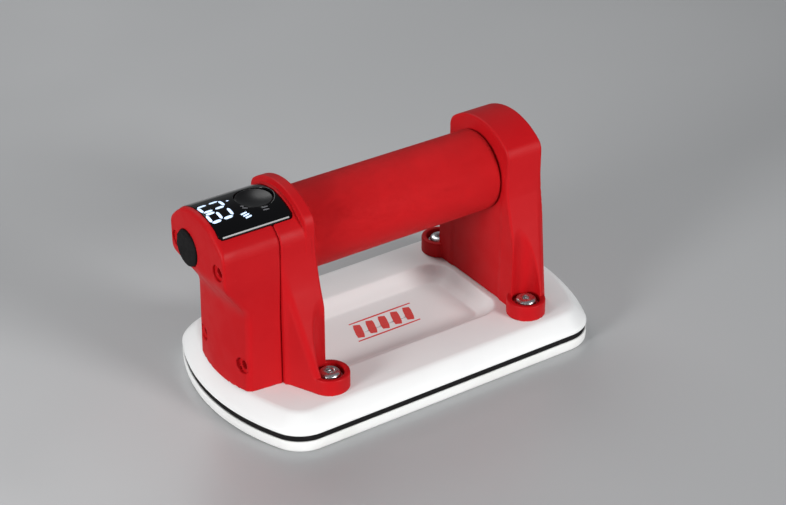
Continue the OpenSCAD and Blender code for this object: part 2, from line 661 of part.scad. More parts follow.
module check_valve_body() color([0.85, 0.85, 0.85]) at([valve_x, -valve_y]) difference() {
    union() {
        translate([0, 0, valve_z]) cylinder(h = 20, r = 4.5);
        translate([0, 0, valve_z - 6]) cylinder(h = 6.1, r = 2);
        translate([0, 0, valve_z + 19.9]) cylinder(h = 6.1, r = 2);
    }
    translate([0, 0, valve_z - 7]) cylinder(h = 40, r = 1.2);
    translate([0, 0, valve_z + 3]) cylinder(h = 14, r = 3.2);
}

module check_poppet() color([0.1, 0.1, 0.1]) at([valve_x, -valve_y], valve_z + 3) {
    cylinder(h = 1.5, r = 3);
    cylinder(h = 4, r = 1.2);
}

module check_spring() color("silver") at([valve_x, -valve_y])
    sweep(coil(1.9, valve_z + 4.8, valve_z + 16.7, 5), 0.25, [0, 0, 1], 6);

module vent_valve_body() color([0.85, 0.85, 0.85]) at([valve_x, valve_y]) difference() {
    union() {
        translate([0, 0, valve_z]) cylinder(h = 6, r = 4.5);
        translate([0, 0, valve_z - 6]) cylinder(h = 6.1, r = 2);
        translate([0, 0, valve_z]) cylinder(h = 24, r = 2.7);
    }
    translate([0, 0, valve_z - 7]) cylinder(h = 10, r = 1.2);
    translate([0, 0, valve_z + 2.5]) cylinder(h = 20, r = 2.1);
    translate([0, 0, valve_z + 4]) rotate([90, 0, 0]) cylinder(h = 6, r = 0.8);
}

module vent_coil() color("chocolate") at([valve_x, valve_y]) ring(valve_z + 6.3, valve_z + 22, 4.5, 2.7);

module vent_plunger() color("gray") at([valve_x, valve_y], valve_z + 2.5) cylinder(h = 15, r = 2.04);

module vent_spring() color("silver") at([valve_x, valve_y])
    sweep(coil(1.5, valve_z + 17.8, valve_z + 22.2, 4), 0.22, [0, 0, 1], 6);

module suction_hose() color([0.85, 0.85, 0.8]) difference() {
    sweep(smooth(hose_path, 5), 3, [0, 1, 0.02], 12);
    at([valve_x, -valve_y], 42) cylinder(h = 6, r = 2);
    at([port_x, -6], 41) cylinder(h = 6, r = 2);
}

module sensor_hose() color([0.85, 0.85, 0.8]) difference() {
    sweep(smooth(sense_path, 4), 2, [0, 1, 0], 10);
    at([-80, -8], board_z - 7) cylinder(h = 6, r = 1.2);
}

module muffler() color([0.2, 0.2, 0.2]) at([port_x, 6]) difference() {
    translate([0, 0, motor_z + 1]) cylinder(h = 17, r = 3.4);
    translate([0, 0, motor_z]) cylinder(h = 6, r = 2);
    translate([0, 0, motor_z]) cylinder(h = 14, r = 1.2);
    for (a = [0:60:120]) rotate([0, 0, a]) translate([-5, 0, motor_z + 14]) rotate([0, 90, 0])
        cylinder(h = 10, r = 0.6);
}

base_shell();
gasket_band();
seal_ring();
suction_plate();
plate_screws();
intake_filter();
filter_cap();
port_hoses();
thread_inserts();
lug_screws();
lug_washers();
front_post();
front_housing();
housing_screws();
rear_post();
rear_cover();
rear_cover_screws();
handle_tube();
grip_sleeve();
front_cell();
rear_cell();
cell_sleeve();
cell_spacers();
contact_spring();
contact_plates();
power_leads();
display_lens();
display_module();
control_board();
board_screws();
power_button();
button_switch();
switch_plunger();
buzzer();
pressure_sensor();
charge_port();
charge_board();
charge_cap();
motor_can();
motor_magnets();
motor_end_bell();
motor_rotor();
eccentric();
connecting_rod();
pump_housing();
diaphragm();
pump_head();
pump_screws();
pump_pads();
motor_bracket();
check_valve_body();
check_poppet();
check_spring();
vent_valve_body();
vent_coil();
vent_plunger();
vent_spring();
suction_hose();
sensor_hose();
muffler();
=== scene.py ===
import math

import bmesh
import bpy
import numpy as np
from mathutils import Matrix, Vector


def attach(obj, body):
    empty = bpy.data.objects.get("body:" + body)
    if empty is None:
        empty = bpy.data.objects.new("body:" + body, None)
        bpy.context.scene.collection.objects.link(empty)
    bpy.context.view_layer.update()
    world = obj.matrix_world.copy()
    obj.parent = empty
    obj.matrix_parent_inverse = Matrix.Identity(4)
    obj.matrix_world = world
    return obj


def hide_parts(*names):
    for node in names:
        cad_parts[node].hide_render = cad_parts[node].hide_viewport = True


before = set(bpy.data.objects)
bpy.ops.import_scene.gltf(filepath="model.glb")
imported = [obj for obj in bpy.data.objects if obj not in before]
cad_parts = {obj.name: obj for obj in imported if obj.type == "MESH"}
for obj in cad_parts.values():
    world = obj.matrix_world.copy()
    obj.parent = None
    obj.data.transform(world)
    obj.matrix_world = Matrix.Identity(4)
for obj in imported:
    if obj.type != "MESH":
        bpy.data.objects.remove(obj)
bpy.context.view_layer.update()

# ---- Studio -------------------------------------------------------------------------------------
# The lifter stands on a plain pale floor under three soft lamps. Two are low and far off, so upright
# faces are brighter than tops, and one of them shines back from the bevel along the lens.


def aimed(thing, name, place, target):
    """An object at place, in millimetres, that looks along -Z at target with its +Y side up."""
    holder = bpy.data.objects.new(name, thing)
    bpy.context.scene.collection.objects.link(holder)
    holder.location = Vector(place) / 1000
    holder.rotation_euler = (Vector(target) - Vector(place)).to_track_quat("-Z", "Y").to_euler()
    return holder


lens_tube = bpy.data.cameras.new("camera")
lens_tube.lens, lens_tube.sensor_width, lens_tube.clip_start = 90, 36, 0.05
bpy.context.scene.camera = aimed(lens_tube, "camera", (-448.5, -671.1, 531.6), (1.15, -4.45, 54.41))


def lamp(name, place, size, watts, spread):
    """A round soft lamp aimed at the grip's middle, fanning out over the spread in degrees."""
    light = bpy.data.lights.new(name, "AREA")
    light.shape, light.size, light.energy, light.spread = "DISK", size / 1000, watts, math.radians(spread)
    aimed(light, name, place, (0, 0, 60))


lamp("key_lamp", (-1750, -430, 480), 620, 2.35, 50)
lamp("side_lamp", (590, -1680, 680), 640, 2.5, 50)
lamp("top_lamp", (0, 850, 1000), 800, 6.2, 180)

room = bpy.data.worlds.new("room")
room.use_nodes = True
room.node_tree.nodes["Background"].inputs["Color"].default_value = (0.93, 0.96, 1.0, 1)
room.node_tree.nodes["Background"].inputs["Strength"].default_value = 0.2
bpy.context.scene.world = room
bpy.context.scene.view_settings.view_transform = "Standard"


class Signal:
    """A value inside a finish. Arithmetic on it adds Math nodes, and node() adds any other kind."""

    def __init__(self, tree, socket=None):
        self.tree, self.socket = tree, socket

    def node(self, kind, inputs, out=0, **settings):
        """Adds a shader node: first its settings, then a number, colour or signal for each socket."""
        made = self.tree.nodes.new("ShaderNode" + kind)
        for name, value in settings.items():
            setattr(made, name, value)
        for name, value in inputs.items():
            if isinstance(value, Signal):
                self.tree.links.new(value.socket, made.inputs[name])
            else:
                made.inputs[name].default_value = value
        return Signal(self.tree, made.outputs[out])

    def math(self, operation, *values):
        """One Math node over signals and numbers."""
        return self.node("Math", dict(enumerate(values)), operation=operation)

    def __add__(self, other):
        return self.math("ADD", self, other)

    def __sub__(self, other):
        return self.math("SUBTRACT", self, other)

    def __rsub__(self, other):
        return self.math("SUBTRACT", other, self)

    def __mul__(self, other):
        return self.math("MULTIPLY", self, other)

    __radd__, __rmul__ = __add__, __mul__

    def rise(self, low, high):
        """0 below low, 1 above high, and a smooth step between them."""
        return self.node("MapRange", {"Value": self, "From Min": low, "From Max": high},
                         interpolation_type="SMOOTHSTEP")


class Finish:
    """A material on a Principled shader. Plain numbers sit on its own sockets, and vary() links what
    changes over the surface."""

    def __init__(self, name, color, roughness, **fixed):
        self.material = bpy.data.materials.new(name)
        self.material.use_nodes = True
        self.tree = self.material.node_tree
        self.shader = self.tree.nodes["Principled BSDF"]
        self.color = (*color, 1)
        self.roughness = roughness
        for socket, value in dict(fixed, Base_Color=self.color, Roughness=roughness).items():
            self.shader.inputs[socket.replace("_", " ")].default_value = value
        self.place = Signal(self.tree).node("TexCoord", {}, out="Object")

    def spread(self, sx, sy, sz):
        """The piece's own coordinates, stretched along each axis."""
        return self.place.node("VectorMath", {0: self.place, 1: (sx, sy, sz)}, operation="MULTIPLY")

    def cloud(self, size, detail=2.0, place=None):
        """Soft noise from 0 to 1 with lumps of that size in millimetres."""
        return self.place.node("TexNoise", {"Vector": place or self.place, "Scale": 1000 / size,
                                            "Detail": detail})

    def cells(self, size, place=None, feature="F1"):
        """Distance in a pattern of round cells of that size in millimetres."""
        return self.place.node("TexVoronoi", {"Vector": place or self.place, "Scale": 1000 / size},
                               out="Distance", feature=feature)

    def vary(self, socket, signal):
        """Links a signal to one of the shader's sockets."""
        self.tree.links.new(signal.socket, self.shader.inputs[socket])
        return self

    def tint(self, mask, other):
        """Moves the base colour towards another one where mask is 1. Repeated tints lie on each other."""
        mixed = mask.node("Mix", {0: mask, 6: self.color, 7: (*other, 1)}, out=2, data_type="RGBA")
        self.color = mixed
        return self.vary("Base Color", mixed)

    def worn(self, cloud, more, low=0.35, high=0.7):
        """Adds up to more to the roughness where the cloud is thick."""
        return self.vary("Roughness", cloud.rise(low, high) * more + self.roughness)

    def raised(self, height, depth):
        """Bumps the surface by depth, in millimetres, times the height."""
        return self.vary("Normal", height.node("Bump", {"Height": height, "Distance": depth / 1000,
                                                        "Strength": 1.0}, out="Normal"))


def shaded(mesh, finish, angle=32):
    """Smooth shading with edges sharper than the angle, in degrees, kept crisp."""
    mesh.shade_smooth()
    if angle:
        mesh.set_sharp_from_angle(angle=math.radians(angle))
    mesh.materials.append(finish.material)


floor_mesh = bpy.data.meshes.new("floor")
floor_mesh.from_pydata([(-4, -4, 0), (4, -4, 0), (4, 4, 0), (-4, 4, 0)], [], [(0, 1, 2, 3)])
floor_finish = Finish("floor_paint", (0.43, 0.435, 0.44), 0.32)
floor_finish.worn(floor_finish.cloud(160), 0.12)
shaded(floor_mesh, floor_finish)
floor = bpy.data.objects.new("floor", floor_mesh)
bpy.context.scene.collection.objects.link(floor)

# ---- Sealing ring -------------------------------------------------------------------------------
# A soft white silicone ring, 14 mm wide, cast in one piece and pressed into the base's underside.
# It stands on the tile: its outer foot is rounded, and two fine grooves run round the sealing face.


def grid(rows, columns, loop=False):
    """Quads of a grid of points numbered row by row; each row is closed, and loop closes the columns."""
    r = (np.arange(rows if loop else rows - 1) * columns)[:, None]
    c = np.arange(columns)[None, :]
    d = (c + 1) % columns
    up = (r + columns) % (rows * columns)
    return np.stack(np.broadcast_arrays(r + c, r + d, up + d, up + c), -1).reshape(-1, 4)


def solid(name, points, quads, finish, node, slot, body="frame", angle=32, normals=None):
    """A closed piece from points in millimetres and quads. It is turned so that it holds a positive
    volume: the sum over the faces of a . (b x c) / 6. Doubled points, as at a pole, are merged."""
    a, b, c, d = (points[quads[:, k]] for k in range(4))
    inward = (np.einsum("ij,ij->", a, np.cross(b, c)) + np.einsum("ij,ij->", a, np.cross(c, d))) < 0
    quads = quads[:, ::-1] if inward else quads
    mesh = bpy.data.meshes.new(name)
    mesh.vertices.add(len(points))
    mesh.vertices.foreach_set("co", (points / 1000).astype(np.float32).ravel())
    mesh.loops.add(quads.size)
    mesh.loops.foreach_set("vertex_index", np.ascontiguousarray(quads, dtype=np.int32).ravel())
    mesh.polygons.add(len(quads))
    mesh.polygons.foreach_set("loop_start", np.arange(0, quads.size, 4, dtype=np.int32))
    mesh.update(calc_edges=True)
    if normals is None:
        shape = bmesh.new()
        shape.from_mesh(mesh)
        bmesh.ops.remove_doubles(shape, verts=shape.verts, dist=1e-7)
        shape.to_mesh(mesh)
        shape.free()
        shaded(mesh, finish, angle)
    else:
        shaded(mesh, finish, None)
        mesh.normals_split_custom_set_from_vertices(normals)
    piece = bpy.data.objects.new(name, mesh)
    bpy.context.scene.collection.objects.link(piece)
    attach(piece, body)
    if node:
        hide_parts(node)
    return piece


half_l, half_w, end_r, corner_r = 98.5, 55.5, 105, 18
ring_top, shell_low = 5.95, 9.05
arc_n, end_n, side_n = 20, 24, 16
around = 4 * arc_n + 2 * end_n + 2 * side_n
end_x = half_l - end_r
corner_x = end_x + math.sqrt((end_r - corner_r) ** 2 - (half_w - corner_r) ** 2)
corner_y = half_w - corner_r
corner_angle = math.atan2(corner_y, corner_x - end_x)


def sampled(a, b, n):
    """n values from a towards b, without b."""
    return a + (b - a) * np.arange(n) / n


def outline(inset):
    """The base's outline moved in by inset: for each half a corner arc, the bowed end of radius 105
    about a centre on the middle line, a corner arc and a straight side."""
    r, bow = corner_r - inset, end_r - inset
    low, high = sampled(-math.pi / 2, -corner_angle, arc_n), sampled(corner_angle, math.pi / 2, arc_n)
    end, side = sampled(-corner_angle, corner_angle, end_n), sampled(corner_x, -corner_x, side_n)
    half = np.concatenate([
        np.stack([corner_x + r * np.cos(low), r * np.sin(low) - corner_y], -1),
        np.stack([end_x + bow * np.cos(end), bow * np.sin(end)], -1),
        np.stack([corner_x + r * np.cos(high), corner_y + r * np.sin(high)], -1),
        np.stack([side, np.full(side_n, corner_y + r)], -1)])
    return np.concatenate([half, -half])


def ringed(profile, shape=outline):
    """Points of a profile of (inset, height) pairs carried round a closed outline, row by row."""
    return np.concatenate([np.column_stack([shape(inset), np.full(len(shape(inset)), height)])
                           for inset, height in profile])


silicone = Finish("white_silicone", (0.76, 0.76, 0.75), 0.42, Subsurface_Weight=0.08,
                  Subsurface_Radius=(0.004, 0.004, 0.004))
silicone.tint(silicone.cloud(22, 4).rise(0.45, 0.8), (0.7, 0.7, 0.68))
silicone.worn(silicone.cloud(9, 4), 0.18).raised(silicone.cloud(0.7), 0.03)
dip = [(-0.7, 0), (-0.45, 0.35), (0, 0.5), (0.45, 0.35), (0.7, 0)]
groove = [(middle + dx, dz) for middle in (5.0, 9.5) for dx, dz in dip]
foot = [(1.8 - 1.8 * math.sin(a), 1.8 - 1.8 * math.cos(a)) for a in np.linspace(0, math.pi / 2, 8)]
ring_profile = [(0.15, ring_top), (0, 5.75), *foot[::-1], *groove, (13.4, 0), (14, 0.6), (14, ring_top)]
solid("sealing_ring", ringed(ring_profile), grid(len(ring_profile), around, True), silicone,
      "seal_ring", "white_silicone", angle=50)

# ---- Gasket -------------------------------------------------------------------------------------
# A moulded black rubber band between the sealing ring and the white shell. Only its edge shows, as
# a dark line right round the base, a little further in than the two white parts.
rubber = Finish("black_rubber", (0.008, 0.0075, 0.008), 0.62, Specular_IOR_Level=0.1)
rubber.tint(rubber.cloud(6, 4).rise(0.5, 0.8), (0.014, 0.013, 0.014))
rubber.worn(rubber.cloud(3, 3), 0.15).raised(rubber.cloud(0.45), 0.03)
edge = [(0.42 + 0.28 * abs(t) ** 4, 7.5 + 1.55 * t) for t in np.linspace(-1, 1, 9)]
band = [*edge, (9, shell_low), (9, ring_top)]
solid("gasket_edge", ringed(band), grid(len(band), around, True), rubber,
      "gasket_band", "black_rubber", angle=50)

# ---- Base shell ---------------------------------------------------------------------------------
# The white shell is injection-moulded ABS, 2.5 mm thick: an upright rim, a broad sloping shoulder
# and a flat deck with a shallow tray in its middle. Ten screws from below hold the suction plate.
deck_z, floor_z, wall_t = 18, 12, 2.5


def tray(mix):
    """The tray's outline, a rounded rectangle, point for point with the base's outline. At mix 0 it
    is the floor's edge, at 1 the rim's, and beyond 1 it grows on by 8.3 mm per unit."""
    x, y = 42.4 + 8.3 * mix, 19.5 + 8.3 * mix
    r = min(5 + 7 * mix, 13)
    low, high = sampled(-math.pi / 2, 0, arc_n), sampled(0, math.pi / 2, arc_n)
    end, side = sampled(r - y, y - r, end_n), sampled(x - r, r - x, side_n)
    half = np.concatenate([
        np.stack([x - r + r * np.cos(low), r - y + r * np.sin(low)], -1),
        np.stack([np.full(end_n, x), end], -1),
        np.stack([x - r + r * np.cos(high), y - r + r * np.sin(high)], -1),
        np.stack([side, np.full(side_n, y)], -1)])
    return np.concatenate([half, -half])


def eased(knots, n):
    """Points on a smooth curve through (inset, height) knots: a Catmull-Rom run, n to a span."""
    k = np.array([knots[0], *knots, knots[-1]], float)
    t = np.arange(n)[:, None] / n
    runs = [0.5 * (2 * b + (c - a) * t + (2 * a - 5 * b + 4 * c - d) * t ** 2
                   + (3 * b - a - 3 * c + d) * t ** 3)
            for a, b, c, d in zip(k, k[1:], k[2:], k[3:])]
    return [*np.concatenate(runs), k[-1]]


rim = [(0.4, shell_low), (0, 9.4), (0.05, 10.1), (1, 11.7), (3.1, 14.2), (5.2, 16.3), (6.7, 17.45),
       (8.2, deck_z)]
outer = ringed([(0.6, shell_low), *[(max(inset, 0), z) for inset, z in eased(rim, 4)]])
wall = [(1.45, 18), (1.2, 18), (1.06, 17.9), (0.93, 17.35), (0.5, 14.4), (0.2, 12.9), (0.08, 12.35),
        (0, 12.12), (-0.12, 12.0), (-0.4, 12)]
bowl = ringed([(mix, z) for mix, z in eased(wall, 4)], tray)
squeeze, lower_mix, under_deck = [0.3, 0.02], 1.36, deck_z - wall_t
middle = np.column_stack([tray(0) * squeeze, np.full(around, floor_z)])
under = [np.column_stack([tray(lower_mix) * squeeze, np.full(around, shell_low)]),
         ringed([(lower_mix, shell_low), (lower_mix, under_deck)], tray),
         ringed([(12, under_deck), (12, shell_low)])]
shell = np.concatenate([outer, bowl, middle, *under])
shell_quads = grid(len(shell) // around, around, True)

white = Finish("white_abs", (0.77, 0.775, 0.77), 0.36, Specular_IOR_Level=0.35)
white.tint(white.cloud(60, 5).rise(0.5, 0.85), (0.71, 0.715, 0.72))
white.tint(white.cloud(1.2, 5).rise(0.7, 0.9) * 0.4, (0.62, 0.62, 0.6))
white.worn(white.cloud(14, 5), 0.16).raised(white.cloud(0.35), 0.012)
solid("base_shell_skin", shell, shell_quads, white, "base_shell", "white_abs", angle=40)

# ---- Tray sign ----------------------------------------------------------------------------------
# A red sign is pad-printed on the tray's floor: slanted bars between two thin lines, and nothing
# that can be read. The ink lies a twentieth of a millimetre proud.


def strokes(lines, width, height, thick, points=9, tip=0.06):
    """Flat strokes on a surface. Each line is (x0, y0, x1, y1) and becomes a bar whose half width is
    width x min(1, distance to its ends / width), so its ends are pointed like a display's segment, or
    width x tip right at them. Height and thick lift it along z; height may be a function of x and y."""
    lines = np.array(lines, float)
    t = np.linspace(0, 1, points)
    run = lines[:, 2:] - lines[:, :2]
    length = np.linalg.norm(run, axis=1)[:, None]
    near = np.minimum(t, 1 - t)[None] * length
    half = width * np.clip(near / width, tip, 1)
    middle = lines[:, None, :2] + t[None, :, None] * run[:, None]
    across = np.stack([-run[:, 1], run[:, 0]], -1)[:, None] / length[..., None]
    corners = []
    for side, level in ((-1, 0), (1, 0), (1, thick), (-1, thick)):
        flat = middle + side * half[..., None] * across
        lift = height(flat[..., 0], flat[..., 1]) if callable(height) else np.full(flat.shape[:2], height)
        corners.append(np.dstack([flat, (lift + level)[..., None]]))
    rows = np.stack(corners, 2)
    count = len(lines)
    one = grid(points, 4)
    ends = np.array([[3, 2, 1, 0], [4 * points - 4, 4 * points - 3, 4 * points - 2, 4 * points - 1]])
    one = np.concatenate([one, ends])
    quads = (np.arange(count)[:, None, None] * points * 4 + one[None]).reshape(-1, 4)
    return rows.reshape(-1, 3), quads


ink = Finish("red_ink", (0.62, 0.025, 0.02), 0.45)
ink.tint(ink.cloud(1.5, 4).rise(0.62, 0.9), (0.7, 0.12, 0.1)).worn(ink.cloud(2), 0.2)
bars = [(x - 1.9, -3.4, x + 1.9, 7.2) for x in np.linspace(-14.5, 14.5, 5)]
frame_lines = [(-19.5, -5.6, 16.5, -5.6), (-15.5, 9.4, 20.5, 9.4)]
bar_points, bar_quads = strokes(bars, 2.1, floor_z - 0.02, 0.07, 5, 0.8)
line_points, line_quads = strokes(frame_lines, 0.5, floor_z - 0.02, 0.07, 5, 0.8)
solid("tray_sign", np.concatenate([bar_points, line_points]),
      np.concatenate([bar_quads, line_quads + len(bar_points)]), ink, None, "red_abs")

# ---- Red mouldings: front post ------------------------------------------------------------------
# The front post is injection-moulded red ABS with 2.5 mm walls. It carries the front end of the
# grip, half of the display head, a raised collar behind the lens, and two lugs with gussets for
# the lug screws. It meets the front housing at a parting line.
arch_z, post_w, split_x, post_in = 74, 24, -72, 53
collar_r, head_r, collar_x, gusset_top = 35, 32, -59, 76
lug_y, lug_r, lug_top, well_r, well_z, shank_hole_r = 36.2, 9.5, 26.1, 6.85, 22.5, 2.75
front_lug_x, rear_lug_x, gusset_fall, pillar_r = -55.3, 57.6, (0.955, 0.297), 4
lens_edge, lens_r, key_x, grip_z, seat_r = (-98.5, -61, 17.5), (30, 31.8), -71, 82.25, 17.05
screw_places = [(-18.5, 84.5), (18.5, 84.5), (-17, 31), (17, 31)]


def meet(a, b, r=0.0):
    """Distance to what two shapes share, with the edge rounded by r:
    min(-r, max(a, b)) + hypot(max(a + r, 0), max(b + r, 0)). Distances are negative inside."""
    return np.minimum(-r, np.maximum(a, b)) + np.hypot(np.maximum(a + r, 0), np.maximum(b + r, 0))


def join(a, b, r=0.0):
    """Distance to two shapes together, with a fillet of r where they meet: -meet(-a, -b, r)."""
    return -meet(-a, -b, r)


def cut(a, b, r=0.0):
    """Distance to a without b, with the rim rounded by r: meet(a, -b, r)."""
    return meet(a, -b, r)


def arch(y, z, w, r, shoulder=2.5, flare=0.0):
    """Distance in the (y, z) plane to an upright band of half width w under an arch of radius r about
    (0, 74); its corners under the arch are rounded by the shoulder, and flare widens it downwards."""
    sides = np.abs(y) - w - flare * np.maximum(gusset_top - z, 0)
    return meet(sides, np.hypot(y, np.maximum(z - arch_z, 0)) - r, shoulder)


def roof(y, z):
    """Distance under the head's arch of radius 32, which falls away by 0.9 mm beside the lens so that
    the lens's edge stands clear of it: hypot(y, z - 74) - 32 + 0.9 s, s a smooth step over |y|."""
    s = np.clip((np.abs(y) - 12.5) / 5, 0, 1)
    return np.hypot(y, np.maximum(z - arch_z, 0)) - head_r + 0.9 * s * s * (3 - 2 * s)


def bar_x(x, y, z, place, r, x0, x1):
    """Distance to a round bar of radius r along X through place = (y, z), from x0 to x1."""
    return np.maximum(np.hypot(y - place[0], z - place[1]) - r, np.maximum(x0 - x, x - x1))


def gusset(x, y, z, root_x, lug_x):
    """Distance to a gusset. In plan it is the lug's circle and the wedge between its tangent from the
    post's outer corner at root_x and the line through the lug's centre square to that tangent. A steep
    plane, falling from 76 mm up the post to the middle of the lug's top, cuts it off above."""
    side = 1 if lug_x > root_x else -1
    dx, dy = abs(lug_x - root_x), lug_y - post_w
    turn = math.atan2(dy, dx) + math.asin(lug_r / math.hypot(dx, dy))
    flank = (np.abs(y) - post_w) * math.cos(turn) - (x - root_x) * side * math.sin(turn)
    before = (x - lug_x) * side * math.cos(turn) + (np.abs(y) - lug_y) * math.sin(turn)
    plan = np.minimum(np.hypot(x - lug_x, np.abs(y) - lug_y) - lug_r, np.maximum(flank, before))
    above = (np.abs(y) - post_w) * gusset_fall[0] + (z - gusset_top) * gusset_fall[1]
    return meet(meet(plan, above, 2.5), post_w - 3 - np.abs(y))


def with_lugs(body, x, y, z, root_x, lug_x, inner):
    """Adds gussets and lugs to a post's distance, trims them at the post's inner face, and opens the
    round well over each lug screw."""
    body = join(body, gusset(x, y, z, root_x, lug_x), 3)
    body = meet(body, inner, 1.5)
    from_screw = np.hypot(x - lug_x, np.abs(y) - lug_y)
    body = join(body, meet(from_screw - lug_r, z - lug_top, 0.8), 0.4)
    body = cut(body, meet(from_screw - well_r, well_z - z), 0.8)
    return np.maximum(cut(body, from_screw - shank_hole_r), deck_z - z)


def lens_bed(x, y, z):
    """Distance to the pocket that the lens lies in, and to the openings under it for display and key."""
    gap = 0.15
    ends = np.maximum(lens_edge[0] - x, x - lens_edge[1]) - gap
    plan = meet(ends, np.abs(y) - lens_edge[2] - gap, 2.2)
    bed = np.maximum(plan, np.maximum(lens_r[0] - np.hypot(y, z - arch_z), arch_z - z))
    window = np.maximum(plan + 1.8, 97 - z)
    key_well = np.maximum(np.hypot(x - key_x, y) - 10.4, 97 - z)
    return np.minimum(bed, np.minimum(window, key_well))


def front_post(x, y, z):
    """Two arched bands, the head's and the collar's, with the hollow, the lugs and the lens bed."""
    front, inner = split_x - x, x + post_in
    head = meet(meet(np.abs(y) - post_w, roof(y, z), 2.4), front, 1.2)
    collar = meet(meet(arch(y, z, post_w, collar_r), collar_x - x, 0.7), inner, 1.5)
    body = np.maximum(join(np.maximum(head, x + 56), collar, 0.35), deck_z - z)
    body = with_lugs(body, x, y, z, split_x + 0.4, front_lug_x, inner)
    body = np.maximum(body, front)
    hollow = np.maximum(arch(y, z, post_w - wall_t, head_r - 4, 1.5),
                        np.maximum(x + post_in + wall_t, deck_z + wall_t - z))
    body = cut(body, hollow)
    for place in screw_places:
        pillar_end = -61 if place[1] > 60 else -66
        body = np.minimum(body, bar_x(x, y, z, place, pillar_r, split_x + 0.2, pillar_end))
        body = cut(body, bar_x(x, y, z, place, 1.5, split_x - 1, split_x + 5.6))
    body = cut(body, np.hypot(y, z - grip_z) - seat_r)
    return cut(body, lens_bed(x, y, z), 0.2)


def moulded(field, low, high, pitch):
    """A net of quads on the zero surface of a distance field. Every lattice cell that the surface
    crosses gets one point, the mean of the crossings on its edges, and every crossed lattice edge
    gets a quad round it. The points then step onto the surface: p - field x gradient."""
    axes = [np.arange(a - pitch * 1.5, b + pitch * 1.5, pitch) for a, b in zip(low, high)]
    value = field(*np.meshgrid(*axes, indexing="ij", sparse=True))
    shape = np.array(value.shape)
    step = np.array([shape[1] * shape[2], shape[2], 1])
    cells, places, fans = [], [], []
    for a in range(3):
        b, c = (a + 1) % 3, (a + 2) % 3
        near = np.take(value, range(shape[a] - 1), a)
        far = np.take(value, range(1, shape[a]), a)
        at = np.argwhere((near < 0) != (far < 0))
        v0, v1 = near[tuple(at.T)], far[tuple(at.T)]
        crossing = at.astype(float)
        crossing[:, a] += v0 / (v0 - v1)
        home = at @ step
        fan = np.stack([home - step[b] - step[c], home - step[c], home, home - step[b]], -1)
        fans.append(np.where((v0 < 0)[:, None], fan, fan[:, ::-1]))
        cells.append(fan.ravel())
        places.append(np.repeat(crossing, 4, axis=0))
    cells, places = np.concatenate(cells), np.concatenate(places)
    known, number = np.unique(cells, return_inverse=True)
    total = np.stack([np.bincount(number, places[:, k]) for k in range(3)], -1)
    points = total / np.bincount(number)[:, None] * pitch + np.array([axis[0] for axis in axes])
    quads = np.searchsorted(known, np.concatenate(fans))

    def slope(p, h):
        """The distance's gradient at p, from its differences over h either way."""
        parts = [(field(*(p + h * e).T) - field(*(p - h * e).T)) / (2 * h) for e in np.eye(3)]
        return np.stack(parts, -1)

    for _ in range(3):
        g = slope(points, 0.02)
        push = field(*points.T)[:, None] * g / np.maximum((g * g).sum(1), 0.25)[:, None]
        points = points - np.clip(push, -pitch / 2, pitch / 2)
    g = slope(points, 0.12)
    return points, quads, g / np.maximum(np.linalg.norm(g, axis=1), 1e-6)[:, None]


red = Finish("red_abs", (0.44, 0.005, 0.008), 0.44, Specular_IOR_Level=0.12)
red.tint(red.cloud(45, 4).rise(0.45, 0.8), (0.4, 0.004, 0.007))
red.tint(red.cloud(2.5, 6).rise(0.66, 0.85) * 0.4, (0.5, 0.02, 0.022))
red.worn(red.cloud(11, 5), 0.14).raised(red.cloud(0.32) + red.cloud(1.6) * 0.8, 0.02)


def red_moulding(name, field, low, high, pitch, node):
    """A moulded red piece from its distance field, between two corners of its box."""
    points, quads, normals = moulded(field, low, high, pitch)
    return solid(name, points, quads, red, node, "red_abs", normals=normals)


coarse = 1.0
red_moulding("front_post_moulding", front_post, (-72, -45.8, 18), (-45.8, 45.8, 109), 0.6 * coarse,
             "front_post")

# ---- Front housing ------------------------------------------------------------------------------
# The housing closes the front post: a hollow red cover, bowed across, narrower below and flaring
# out to the display head. Four screws sit deep in dished holes, and the charging inlet's cap lies
# in a round recess.
inlet = (8, 84.7)
house_z = np.arange(10, 120, 0.25)
soft = np.hanning(33) / np.hanning(33).sum()


def softened(heights, values):
    """A run of straight spans over height, averaged over 8 mm so that its bends are round."""
    spans = np.interp(house_z, heights, values)
    return np.convolve(np.pad(spans, 16, mode="edge"), soft, "valid")


face_line = softened([18, 58, 62, 76, 79, 120], [-92.6, -91.6, -92.6, -100.9, -101.5, -101.5])
bow_line = softened([18, 58, 79, 120], [3.0, 2.8, 0.3, 0.3])
taper_line = softened([18, 55, 77, 120], [0.1, 0.08, 0, 0])
shift_line = softened([18, 55, 77, 120], [1.1, 1.0, 0, 0])
corner_line = softened([18, 58, 76, 120], [2.6, 2.6, 1.3, 1.3])
lean_line = np.hypot(1, np.gradient(face_line, house_z))


def house(x, y, z, inset, corner):
    """Distance to the housing's block: a bowed front x = face(z) + bow(z) (v / 22)^2 and sides
    |v| = 24 - taper(z) (split - x), v = y - shift(z), with rounded upright corners, under the roof."""
    v, lean = y - np.interp(z, house_z, shift_line), np.interp(z, house_z, lean_line)
    face = np.interp(z, house_z, face_line) + np.interp(z, house_z, bow_line) * (v / 22) ** 2
    side = np.abs(v) - post_w + np.interp(z, house_z, taper_line) * (split_x - x)
    plan = meet((face - x) / lean + inset, side + inset, corner)
    return meet(plan, roof(y, z) + inset, 2.0)


